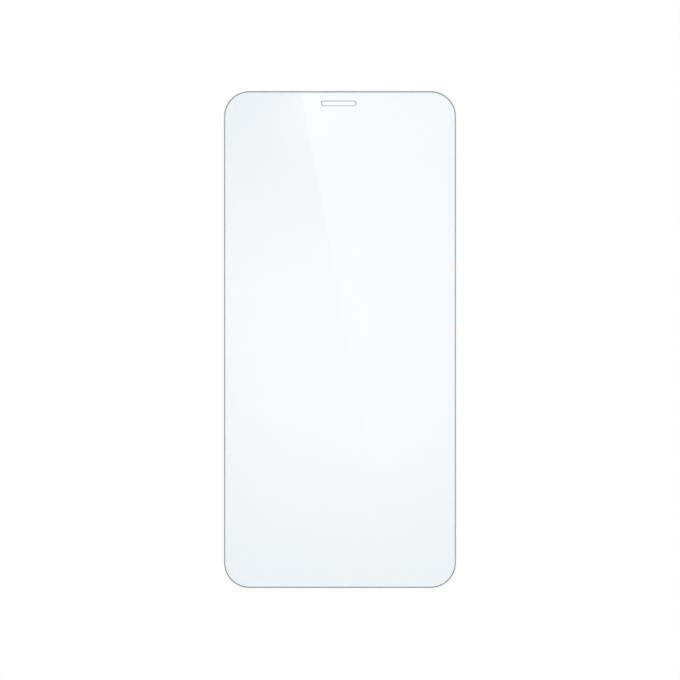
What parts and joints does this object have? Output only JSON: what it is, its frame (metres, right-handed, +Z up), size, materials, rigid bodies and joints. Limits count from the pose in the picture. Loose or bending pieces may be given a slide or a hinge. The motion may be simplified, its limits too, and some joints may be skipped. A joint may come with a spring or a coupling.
{
  "type": "phone screen protector",
  "caption": "Thin tempered glass sheet with rounded corners, a polished curved rim and a narrow earpiece slot, bonded over a phone's display to protect it.",
  "frame": {"origin": "centre of the sheet's outline on its underside, the face that bonds to the display", "axes": "the sheet lies flat: +Z up through the touch face with the curved rim, +Y along its length towards the end with the earpiece slot, +X to the right seen from above"},
  "size_m": [0.0666, 0.1424, 0.0003],
  "materials": {
    "clear_glass": "clear hardened glass, polished on both faces and round the rim"
  },
  "bodies": {
    "root": {"glass_sheet": "clear_glass"}
  },
  "joints": []
}
